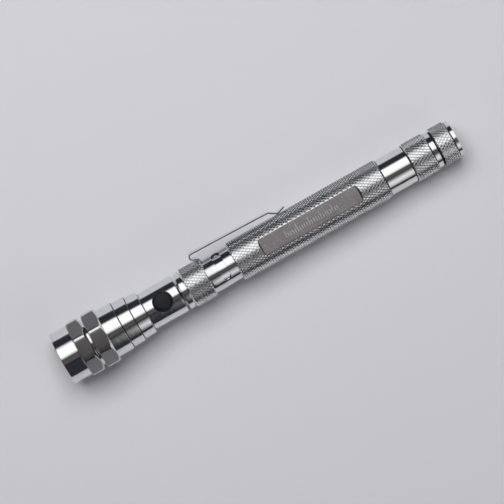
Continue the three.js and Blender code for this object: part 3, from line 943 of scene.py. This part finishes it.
def gooseneck():
    """A coiled conduit: round turns of wire with narrow valleys, and the stud at its rear end."""
    start, end, radius = span("gooseneck")
    stud_start, stud_radius = end - 3.5, 1.2
    pitch, depth, per_turn = 1.5, 0.3, 8
    count = round((stud_start - start - 0.4) / pitch * per_turn)

    def corners(angle):
        coil = []
        for step in range(count + 1):
            station = start + 0.2 + (stud_start - start - 0.4) * step / count
            phase = (station / pitch - angle / (2 * math.pi)) % 1
            bulge = math.sqrt(max(0, 1 - (2 * phase - 1) ** 2))
            coil.append((station, radius - depth * (1 - bulge)))
        return [
            (start, 0),
            (start, radius - depth),
            *coil,
            (stud_start, radius - depth),
            (stud_start, stud_radius),
            (end, stud_radius, 0.2),
            (end, 0),
        ]

    install(turned("flexible_neck", corners, sides=48), "gooseneck")


def neck_rear():
    start, end, radius = span("neck_rear_ferrule")
    ring_start, ring_end, _ = span("neck_friction_ring")
    groove, bore = 1.83, 1.25
    corners = [
        (start, bore, 0.05),
        (start, radius, 0.15),
        (ring_start - 0.12, radius, 0.05),
        (ring_start - 0.12, groove),
        (ring_end + 0.12, groove),
        (ring_end + 0.12, radius, 0.05),
        (end, radius, 0.15),
        (end, bore, 0.05),
    ]
    install(turned("neck_ferrule", corners, sides=64), "neck_rear_ferrule")
    ring = tube_corners(ring_start, ring_end, 1.95, radius, 0.1)
    install(turned("friction_ring", ring, sides=64), "neck_friction_ring")


TUBE_WALL = 0.3
NOSE = {"length": 2.8, "gap": 0.15}


def telescope_tube(index):
    """A drawn tube whose nose is rolled in, with the bush around its rear end."""
    node = f"telescope_tube_{index}"
    start, end, radius = span(node)
    inside = span(f"telescope_tube_{index + 1}")[2] if index < 4 else span("gooseneck")[2]
    nose = inside + NOSE["gap"]
    corners = [
        (start, nose, 0.05),
        (start, radius, 0.3),
        (end, radius, 0.05),
        (end, radius - TUBE_WALL, 0.05),
        (start + NOSE["length"], radius - TUBE_WALL),
        (start + NOSE["length"], nose),
    ]
    install(turned(f"drawn_tube_{index}", corners, sides=96), node, finish="drawn_metal")
    bush_node = f"tube_{index}_slide_bush"
    bush_start, bush_end, bush_radius = span(bush_node)
    middle = (bush_start + bush_end) / 2
    oil_groove = 0.06
    bush = [
        (bush_start, radius + 0.05, 0.03),
        (bush_start, bush_radius, 0.1),
        (middle - 0.8, bush_radius, 0.05),
        (middle - 0.7, bush_radius - oil_groove, 0.02),
        (middle + 0.7, bush_radius - oil_groove, 0.02),
        (middle + 0.8, bush_radius, 0.05),
        (bush_end, bush_radius, 0.1),
        (bush_end, radius + 0.05, 0.03),
    ]
    install(turned(f"slide_bush_{index}", bush, sides=96), bush_node)


# ---------------------------------------------------------------- handle and tail cap


class KnurledPiece:
    """A turned piece with knurled lengths. Its rings share the lattice's angles, three to a diamond."""

    def __init__(self, around):
        self.around = around
        self.mesh = bmesh.new()
        self.first = self.last = None

    def vertex(self, station, radius, place):
        return self.mesh.verts.new(at(station, radius, 2 * math.pi * place / self.around))

    def advance(self, ring):
        if self.last:
            bridge(self.mesh, self.last, ring)
        self.first = self.first or ring
        self.last = ring

    def turn(self, corners, closed=False):
        steps = (0, 0.5 - KNURL_TOP_SHARE / 2, 0.5 + KNURL_TOP_SHARE / 2)
        for station, radius in rounded(corners, closed):
            places = [column + step for column in range(self.around) for step in steps]
            if radius < 1e-6:
                places = [0]
            self.advance([self.vertex(station, radius, place) for place in places])

    def knurl(self, start, end, periods, crest, depth):
        """A lattice of diamonds. Its ends cut the diamonds there in half."""
        period = (end - start) / periods
        share = KNURL_TOP_SHARE / 2
        valleys = {}
        for row in range(2 * periods + 1):
            for column in range(self.around):
                place = column + (row % 2) / 2
                valleys[row, column] = self.vertex(start + row * period / 2, crest - depth, place)
        edges = {0: {}, 2 * periods: {}}
        for row in range(2 * periods + 1):
            for column in range(self.around):
                self.diamond(row, column, start, period, share, crest, valleys, edges, 2 * periods)
        self.join(valleys, edges, 0)
        self.last = self.edge_ring(valleys, edges, 2 * periods)

    def diamond(self, row, column, start, period, share, crest, valleys, edges, last_row):
        """One pyramid. Its centre lies between two valley crossings of its own row."""
        shift = (row % 2) / 2
        centre = start + row * period / 2
        middle = column + shift + 0.5
        low = valleys[row, column]
        high = valleys[row, (column + 1) % self.around]
        ahead_column = (column + (1 if row % 2 else 0)) % self.around
        low_top = self.vertex(centre, crest, middle - share)
        high_top = self.vertex(centre, crest, middle + share)
        tops = [low_top]
        if row > 0:
            front = valleys[row - 1, ahead_column]
            front_top = self.vertex(centre - period * share, crest, middle)
            self.mesh.faces.new([low, low_top, front_top, front])
            self.mesh.faces.new([front, front_top, high_top, high])
            tops.append(front_top)
        tops.append(high_top)
        if row < last_row:
            rear = valleys[row + 1, ahead_column]
            rear_top = self.vertex(centre + period * share, crest, middle)
            self.mesh.faces.new([low, rear, rear_top, low_top])
            self.mesh.faces.new([rear, high, high_top, rear_top])
            tops.append(rear_top)
        self.mesh.faces.new(tops)
        if row in edges:
            edges[row][column] = (low_top, high_top)

    def edge_ring(self, valleys, edges, row):
        ring = []
        for column in range(self.around):
            ring += [valleys[row, column], *edges[row][column]]
        return ring

    def join(self, valleys, edges, row):
        self.advance(self.edge_ring(valleys, edges, row))

    def finish(self, name):
        if len(self.first) > 1:
            bridge(self.mesh, self.last, self.first)
        bmesh.ops.recalc_face_normals(self.mesh, faces=self.mesh.faces)
        return mesh_object(name, self.mesh)


def handle_front_collar():
    start, end, _ = span("handle_front_collar")
    shoulder, radius, shank = 53.85, 7.47, 6.1
    nose = span("telescope_tube_1")[2] + NOSE["gap"]
    corners = [
        (start, nose, 0.1),
        (start, radius, 0.3),
        (shoulder, radius, 0.15),
        (shoulder, shank),
        (end, shank, 0.2),
        (end, nose, 0.1),
    ]
    install(turned("threaded_collar", corners), "handle_front_collar")


LABEL_FLAT = {"start": 85.2, "end": 128.6, "height": 7.15, "edge_start": 3.35, "edge_slope": 0.16}


def label_cutter(crest):
    """Removes the flat's hollow: a level floor, long edges turned down, and sloping ends."""
    start, end, height = LABEL_FLAT["start"], LABEL_FLAT["end"], LABEL_FLAT["height"]
    edge, slope = LABEL_FLAT["edge_start"], LABEL_FLAT["edge_slope"]
    rise = crest - height
    top = height + 2 * rise
    outline = [
        (-crest, height - slope * (crest - edge)),
        (-edge, height),
        (edge, height),
        (crest, height - slope * (crest - edge)),
        (crest, top),
        (-crest, top),
    ]

    def place(across, up, end_of_flat):
        inward = rise - (up - height)
        direction = 1 if end_of_flat == 0 else -1
        station = (start, end)[end_of_flat] + direction * inward
        return beside_axis(station, up, across)

    return prism("flat_cutter", outline, (0, 1), place)


KNURLED_FINISHES = ["knurled_metal", "milled_metal", "polished_metal", "marked_metal", "painted_groove_shade"]


def handle_barrel():
    start, end, _ = span("handle_barrel")
    knurl, rear_knurl, groove = 7.98, 7.93, 6.95
    clip_groove = (63, 74.6, 6.5)
    counterbore, bore = 6.3, 5.55
    chamfer_foot = knurl - KNURL_DEPTH - 0.1
    piece = KnurledPiece(KNURL_AROUND)
    piece.turn([(start, counterbore, 0.05), (start, chamfer_foot)])
    piece.knurl(start + 0.3, clip_groove[0] - 0.3, 4, knurl, KNURL_DEPTH)
    piece.turn([(clip_groove[0], chamfer_foot), (clip_groove[0], clip_groove[2], 0.15)])
    piece.turn([(clip_groove[1], clip_groove[2], 0.15), (clip_groove[1], chamfer_foot)])
    piece.knurl(clip_groove[1] + 0.3, 138.45, 32, knurl, KNURL_DEPTH)
    waist = [(139.05, 7.42, 0.1), (149.95, 7.42, 0.1)]
    piece.turn([(138.7, chamfer_foot), (138.75, groove), (139.0, groove), *waist])
    piece.turn([(150.0, groove), (150.3, groove), (150.35, chamfer_foot)])
    piece.knurl(150.7, 159.0, 4, rear_knurl, KNURL_DEPTH)
    rear_band = [(159.55, 7.37, 0.08), (end, 7.37, 0.15)]
    piece.turn([(159.3, chamfer_foot), (159.35, groove), (159.5, groove), *rear_band])
    bore_steps = [(156.6, counterbore), (156.6, bore), (59, bore), (59, counterbore)]
    piece.turn([(end, counterbore, 0.05), *bore_steps])
    handle = piece.finish("knurled_handle")
    handle = carved(handle, label_cutter(knurl), *tick_cutters())
    paint(handle, *KNURLED_FINISHES)
    floor = AXIS_Z + LABEL_FLAT["height"] * MM
    paint_where(handle, 1, lambda face: face.normal.z > 0.95 and abs(face.center.z - floor) < 0.02 * MM)
    paint_where(handle, 2, on_plain_band)
    paint_where(handle, 3, on_tick)
    # Painted shade: the narrow grooves' floors and walls are painted near black.
    paint_where(handle, 4, in_narrow_groove)
    facet_knurl(handle)
    install(handle, "handle_barrel")


def on_plain_band(face):
    """The faces of the handle that lie below the knurl's valleys: its grooves and plain bands."""
    away = away_from_axis(face.center)
    return away < 7.5 and station_of(face.center.x) > LABEL_FLAT["end"] or away < 6.7


def in_narrow_groove(face):
    """The floor and walls of the grooves between the knurls and the plain bands."""
    away = away_from_axis(face.center)
    return 6.9 < away < 7.0 or away > 6.7 and abs(face.normal.x) > 0.85


def facet_knurl(piece):
    """Flat facets on the knurl and the milled flat, smooth shading on the plain bands."""
    for face in piece.data.polygons:
        face.use_smooth = face.material_index == 2


TICKS = {"start": 96, "count": 23, "pitch": 1.0, "long": 3.0, "short": 1.6, "width": 0.28, "depth": 0.05}


def tick_cutters():
    """A plain ruled scale, engraved in the flat: every fifth tick is long."""
    cutters = []
    for index in range(TICKS["count"]):
        station = TICKS["start"] + index * TICKS["pitch"]
        length = TICKS["long"] if index % 5 == 0 else TICKS["short"]
        stations = (station, station + TICKS["width"])
        heights = (LABEL_FLAT["height"] - TICKS["depth"], LABEL_FLAT["height"] + 1)
        cutters.append(block("tick_cutter", stations, heights, (-1.4, length - 1.4)))
    return cutters


def on_tick(face):
    """The floors of the ruled ticks."""
    first, last = TICKS["start"], TICKS["start"] + TICKS["count"] * TICKS["pitch"]
    along_ticks = first - 1 < station_of(face.center.x) < last + 1
    floor = AXIS_Z + (LABEL_FLAT["height"] - TICKS["depth"]) * MM
    on_floor = face.normal.z > 0.95 and abs(face.center.z - floor) < 0.01 * MM
    return along_ticks and abs(face.center.y) < 2 * MM and on_floor


def tail_cap():
    start, end, knurl = span("tail_cap")
    body_start, knurl_end, ring_start, ring = 162.25, 168.4, 168.7, 7.33
    spigot, pocket, pocket_start, groove = 6.0, 4.6, 164.5, 6.95
    depth = 0.26
    foot = knurl - depth - 0.12
    piece = KnurledPiece(KNURL_AROUND)
    piece.turn([(start, 0), (start, spigot, 0.3), (body_start, spigot), (body_start, foot - 0.3, 0.1)])
    piece.turn([(body_start + 0.05, foot)])
    piece.knurl(body_start + 0.15, knurl_end - 0.35, 3, knurl, depth)
    groove_floor = [(knurl_end, groove), (ring_start - 0.1, groove)]
    piece.turn([(knurl_end - 0.05, foot), *groove_floor, (ring_start, ring, 0.08)])
    piece.turn([(end, ring, 0.3), (end, pocket, 0.15), (pocket_start, pocket), (pocket_start, 0)])
    cap = shade(piece.finish("threaded_tail_cap"))
    paint(cap, *KNURLED_FINISHES)
    paint_where(cap, 2, lambda face: station_of(face.center.x) > ring_start or on_plain_band(face))
    knurl_foot = body_start + 1
    # Painted shade: the grooves behind the knurl's front are painted near black.
    paint_where(cap, 4, lambda face: station_of(face.center.x) > knurl_foot and in_narrow_groove(face))
    facet_knurl(cap)
    install(cap, "tail_cap")


def tail_magnet():
    install(turned("holding_magnet", rod_corners(*span("tail_magnet"), edge=0.3)), "tail_magnet")


# ---------------------------------------------------------------- pocket clip

CLIP_ROLL = math.radians(9.5)
STRIP = 0.5
BAND = {
    "start": 63.9,
    "end": 74.3,
    "front_radius": 6.88,
    "rear_radius": 7.16,
    "half_turn": math.radians(155),
}
BAND_SLOT = {"station": 69.1, "width": 3.45, "from": math.radians(13), "to": math.radians(119)}
CLIP_BEND = {"station": 61.55, "radius": 10.05, "size": 1.19}
LEAF = {"tab_half": 1.9, "root_half": 2.0, "tip_half": 1.25}


def clip_point(station, out, across):
    """A point in the clip's directions: along the tool, away through the leaf, and across the leaf."""
    away = Vector((0, math.cos(CLIP_ROLL), math.sin(CLIP_ROLL)))
    side = Vector((0, -math.sin(CLIP_ROLL), math.cos(CLIP_ROLL)))
    return at(station, 0, 0) + away * out * MM + side * across * MM


class StripLine:
    """The middle of the clip's strip, from the band's rear edge to the leaf's tip."""

    def __init__(self):
        bend = []
        for step in range(13):
            angle = math.radians(-97 - 168.5 * step / 12)
            station = CLIP_BEND["station"] + CLIP_BEND["size"] * math.cos(angle)
            bend.append((station, CLIP_BEND["radius"] + CLIP_BEND["size"] * math.sin(angle)))
        corners = [
            (BAND["end"], BAND["rear_radius"]),
            (63.75, BAND["front_radius"], 0.5),
            (63.25, 8.3, 0.5),
            *bend,
            (94.4, 10.4, 1.2),
            (97.5, 8.35, 0.9),
            (101, 9.5),
        ]
        self.points = rounded(corners, closed=False)
        self.lengths = [0.0]
        for before, here in zip(self.points, self.points[1:]):
            self.lengths.append(self.lengths[-1] + (here - before).length)

    def direction(self, index):
        last = len(self.points) - 1
        return (self.points[min(index + 1, last)] - self.points[max(index - 1, 0)]).normalized()

    def frame(self, length):
        """The point at a length along the strip, and the strip's normal there."""
        index = max(i for i, start in enumerate(self.lengths[:-1]) if start <= max(length, 0))
        share = (length - self.lengths[index]) / (self.lengths[index + 1] - self.lengths[index])
        point = self.points[index].lerp(self.points[index + 1], share)
        along = self.direction(index).lerp(self.direction(index + 1), min(share, 1))
        along.normalize()
        return point, Vector((along.y, -along.x))


def clip_outline(tip):
    """The flat pattern of the clip: a long band, with the narrow leaf growing out of its middle."""
    front = BAND["end"] - BAND["start"]
    half_band = BAND["front_radius"] * BAND["half_turn"]
    side = [
        (0, half_band, 1.0),
        (front, half_band, 1.0),
        (front, LEAF["tab_half"], 0.4),
        (front + 3, LEAF["root_half"]),
        (front + 8, LEAF["root_half"]),
        (tip, LEAF["tip_half"], 1.0),
    ]
    return [(a, -b, *fillet) for a, b, *fillet in side] + side[::-1]


def slot_outline(side):
    """A slot with round ends, across the band."""
    radius = BAND_SLOT["width"] / 2
    middle = BAND["end"] - BAND_SLOT["station"]
    ends = [side * BAND["front_radius"] * BAND_SLOT[end] for end in ("from", "to")]
    near, far = min(ends) + radius, max(ends) - radius
    half_turns = [(far, 0), (near, math.pi)]
    points = []
    for across, start in half_turns:
        for step in range(17):
            angle = start + math.pi * step / 16
            points.append((middle + radius * math.cos(angle), across + radius * math.sin(angle)))
    return points


def flat_place(along, across, height):
    return Vector((along, across, height)) * MM


def sliced(piece, cuts_along, cuts_across):
    """Cuts a flat piece into small faces, so that it can be bent."""
    mesh = bmesh.new()
    mesh.from_mesh(piece.data)
    for axis, places in ((0, cuts_along), (1, cuts_across)):
        normal = Vector((1, 0, 0)) if axis == 0 else Vector((0, 1, 0))
        for place in places:
            everything = [*mesh.verts, *mesh.edges, *mesh.faces]
            cut = normal * place * MM
            bmesh.ops.bisect_plane(mesh, geom=everything, dist=1e-7, plane_co=cut, plane_no=normal)
    mesh.to_mesh(piece.data)
    mesh.free()


def pocket_clip():
    """One strip of spring steel: a slotted band, a U-bend in front, and the leaf running back over it."""
    line = StripLine()
    front = BAND["end"] - BAND["start"]
    tip = line.lengths[-1] - 0.05
    outline = [tuple(point) for point in rounded(clip_outline(tip), closed=True)]
    thickness = (-STRIP / 2, STRIP / 2)
    clip = prism("pocket_clip", outline, thickness, flat_place)
    slots = [prism("slot_cutter", slot_outline(side), (-STRIP, STRIP), flat_place) for side in (-1, 1)]
    clip = softened(carved(clip, *slots), 0.04)
    bends = [length for length in line.lengths if front - 0.5 < length < tip]
    sliced(clip, bends, [0.5 * step for step in range(-38, 39)])
    for vertex in clip.data.vertices:
        along, across, height = vertex.co / MM
        middle, normal = line.frame(along)
        fade = min(max((along - front) / 3, 0), 1)
        bending = max((1 - fade * fade * (3 - 2 * fade)) / BAND["front_radius"], 1e-4)
        turn = bending * across
        out = height * math.cos(turn) - (1 - math.cos(turn)) / bending
        station, radius = middle + normal * out
        vertex.co = clip_point(station, radius, math.sin(turn) * (1 / bending + height))
    paint(shade(clip, math.radians(18)), "spring_steel")
    outer = STRIP / 2 - 0.01
    round_normals(clip, BAND["front_radius"] + outer, BAND["rear_radius"] + outer + 0.02)
    bend_start, bend_end = clip_point(62.2, 8.5, 0), clip_point(62.24, 9.3, 0)
    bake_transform(clip)
    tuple(bend_start)
    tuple(bend_end)
    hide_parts("clip_band", "clip_leaf")


# ---------------------------------------------------------------- stage

TABLE_CONTACTS = [(19.45, -11), (168.4, -7.9)]
CAMERA = {"distance": 0.924, "lens": 174.86, "target": (82.1, 0.075), "turn": math.radians(29.37)}
CAMERA_LEAN = math.radians(2.5)


def table_directions():
    """Along the tool, across and up, for a table that touches the second ring and the tail cap."""
    (near, low), (far, high) = TABLE_CONTACTS
    tilt = math.atan2(high - low, far - near)
    along = Vector((math.cos(tilt), 0, math.sin(tilt)))
    across = Vector((0, 1, 0))
    return along, across, along.cross(across)


ALONG, ACROSS, UP = table_directions()
TABLE_POINT = beside_axis(*TABLE_CONTACTS[0], 0) - UP * 0.02 * MM


def leaning(angle):
    """The direction at an angle from straight above the table, towards +Y."""
    return UP * math.cos(angle) + ACROSS * math.sin(angle)


def panel(name, centre, toward, width, length):
    """A flat rectangle that faces a direction, with its length along the tool."""
    normal = toward.normalized()
    side = normal.cross(ALONG).normalized()
    lengthwise = side.cross(normal)
    mesh = bmesh.new()
    signs = ((-1, -1), (1, -1), (1, 1), (-1, 1))
    corners = []
    for a, b in signs:
        corners.append(mesh.verts.new(centre + lengthwise * a * length / 2 + side * b * width / 2))
    face = mesh.faces.new(corners)
    coordinates = mesh.loops.layers.uv.new("UVMap")
    for loop, (a, b) in zip(face.loops, signs):
        loop[coordinates].uv = ((a + 1) / 2, (b + 1) / 2)
    piece = mesh_object(name, mesh)
    return piece


def glow_material(name, color, strength, soft_along, soft_across):
    """Light that fades towards the panel's edges."""
    material = bpy.data.materials.new(name)
    material.use_nodes = True
    tree = material.node_tree
    tree.nodes.clear()
    split = tree.nodes.new("ShaderNodeSeparateXYZ")
    tree.links.new(tree.nodes.new("ShaderNodeTexCoord").outputs["UV"], split.inputs[0])
    level = None
    for axis, (low_edge, high_edge) in (("X", soft_along), ("Y", soft_across)):
        for start, end in ((0, low_edge), (1, 1 - high_edge)):
            ramp = tree.nodes.new("ShaderNodeMapRange")
            ramp.interpolation_type = "SMOOTHSTEP"
            ramp.inputs["From Min"].default_value = start
            ramp.inputs["From Max"].default_value = end
            tree.links.new(split.outputs[axis], ramp.inputs["Value"])
            product = tree.nodes.new("ShaderNodeMath")
            product.operation = "MULTIPLY"
            tree.links.new(ramp.outputs[0], product.inputs[0])
            product.inputs[1].default_value = strength
            if level is not None:
                tree.links.new(level, product.inputs[1])
            level = product.outputs[0]
    emission = tree.nodes.new("ShaderNodeEmission")
    emission.inputs["Color"].default_value = (*color, 1)
    tree.links.new(level, emission.inputs["Strength"])
    output = tree.nodes.new("ShaderNodeOutputMaterial")
    tree.links.new(emission.outputs[0], output.inputs["Surface"])
    return material


SOFT_EDGES = ((0.15, 0.15), (0.2, 0.2))


def softbox(name, lean, distance, size, color, strength, shift=0.0, soft=SOFT_EDGES):
    """A soft light, at degrees from the camera towards +Y and shifted along the tool.

    Its size is its width and its length. It fades over the shares of its length and width in soft.
    """
    direction = leaning(CAMERA_LEAN + math.radians(lean))
    centre = Vector((0, 0, AXIS_Z)) + direction * distance + ALONG * shift
    light = panel(name, centre, -direction, *size)
    light.data.materials.append(glow_material(name, color, strength, *soft))
    light.visible_camera = False
    return light


def add_lights():
    """Reflections don't show the table light, so it brightens dull things and not bare metal."""
    main_edges = ((0.15, 0.15), (0.3, 0.3))
    side_edges = ((0.01, 0.1), (0.5, 0.5))
    softbox("main_softbox", 24, 1.2, (1.47, 1.6), (1.0, 0.99, 0.98), 1.3, soft=main_edges)
    softbox("side_softbox", -54, 1.2, (1.5, 1.3), (1.0, 0.98, 0.97), 0.89, 0.63, side_edges)
    softbox("ceiling", -10, 1.6, (1.2, 2.4), (1.0, 0.86, 0.9), 0.1)
    softbox("far_wall", 84.5, 1.2, (0.14, 3.0), (1.0, 1.0, 1.05), 0.13)
    table_light = softbox("table_light", 24, 1.1, (0.9, 0.9), (1.0, 1.0, 1.0), 4.9)
    table_light.visible_glossy = False
    world = bpy.data.worlds.new("dark_room")
    world.use_nodes = True
    background = world.node_tree.nodes["Background"]
    background.inputs["Color"].default_value = (0.85, 0.9, 1.15, 1)
    background.inputs["Strength"].default_value = 0.03
    bpy.context.scene.world = world


def add_table():
    table = panel("table", TABLE_POINT, UP, 6.0, 6.0)
    material = bpy.data.materials.new("table")
    material.use_nodes = True
    surface = material.node_tree.nodes["Principled BSDF"]
    surface.inputs["Base Color"].default_value = (0.84, 0.835, 0.875, 1)
    surface.inputs["Roughness"].default_value = 0.9
    surface.inputs["Specular IOR Level"].default_value = 0.1
    table.data.materials.append(material)


def add_camera():
    turn = CAMERA["turn"]
    back = leaning(CAMERA_LEAN)
    level = back.cross(ALONG)
    right = ALONG * math.cos(turn) - level * math.sin(turn)
    top = ALONG * math.sin(turn) + level * math.cos(turn)
    station, across = CAMERA["target"]
    target = beside_axis(station, 0, across)
    camera = bpy.data.objects.new("camera", bpy.data.cameras.new("camera"))
    camera.data.lens = CAMERA["lens"]
    camera.data.sensor_width = 36
    camera.data.clip_end = 20
    position = target + back * CAMERA["distance"]
    camera.matrix_world = Matrix.Translation(position) @ Matrix((right, top, back)).transposed().to_4x4()
    bpy.context.scene.collection.objects.link(camera)
    bpy.context.scene.camera = camera


front_bezel()
lamp_head_shell()
led_plate()
for number, (led_radius, led_direction) in enumerate(led_places(), start=1):
    led(number, off_axis(led_radius, led_direction))
front_magnet()
led_circuit_board()
contact_spring("front_contact_spring", "front_cell_spring", 4.4, 2.6, 2.5)
contact_spring("rear_contact_spring", "rear_cell_spring", 4.2, 2.4, 2)
battery_sleeve()
for number in range(1, 5):
    battery_cell(number)
o_ring("head_o_ring", "head_seal_ring")
o_ring("tail_o_ring", "tail_seal_ring")
switch_barrel()
switch_button()
switch_plunger()
switch_module()
switch_circuit_board()
neck_anchor_plug()
gooseneck()
neck_rear()
for number in range(1, 5):
    telescope_tube(number)
handle_front_collar()
handle_barrel()
tail_cap()
tail_magnet()
pocket_clip()
add_table()
add_lights()
add_camera()
bpy.context.scene.view_settings.view_transform = "Standard"
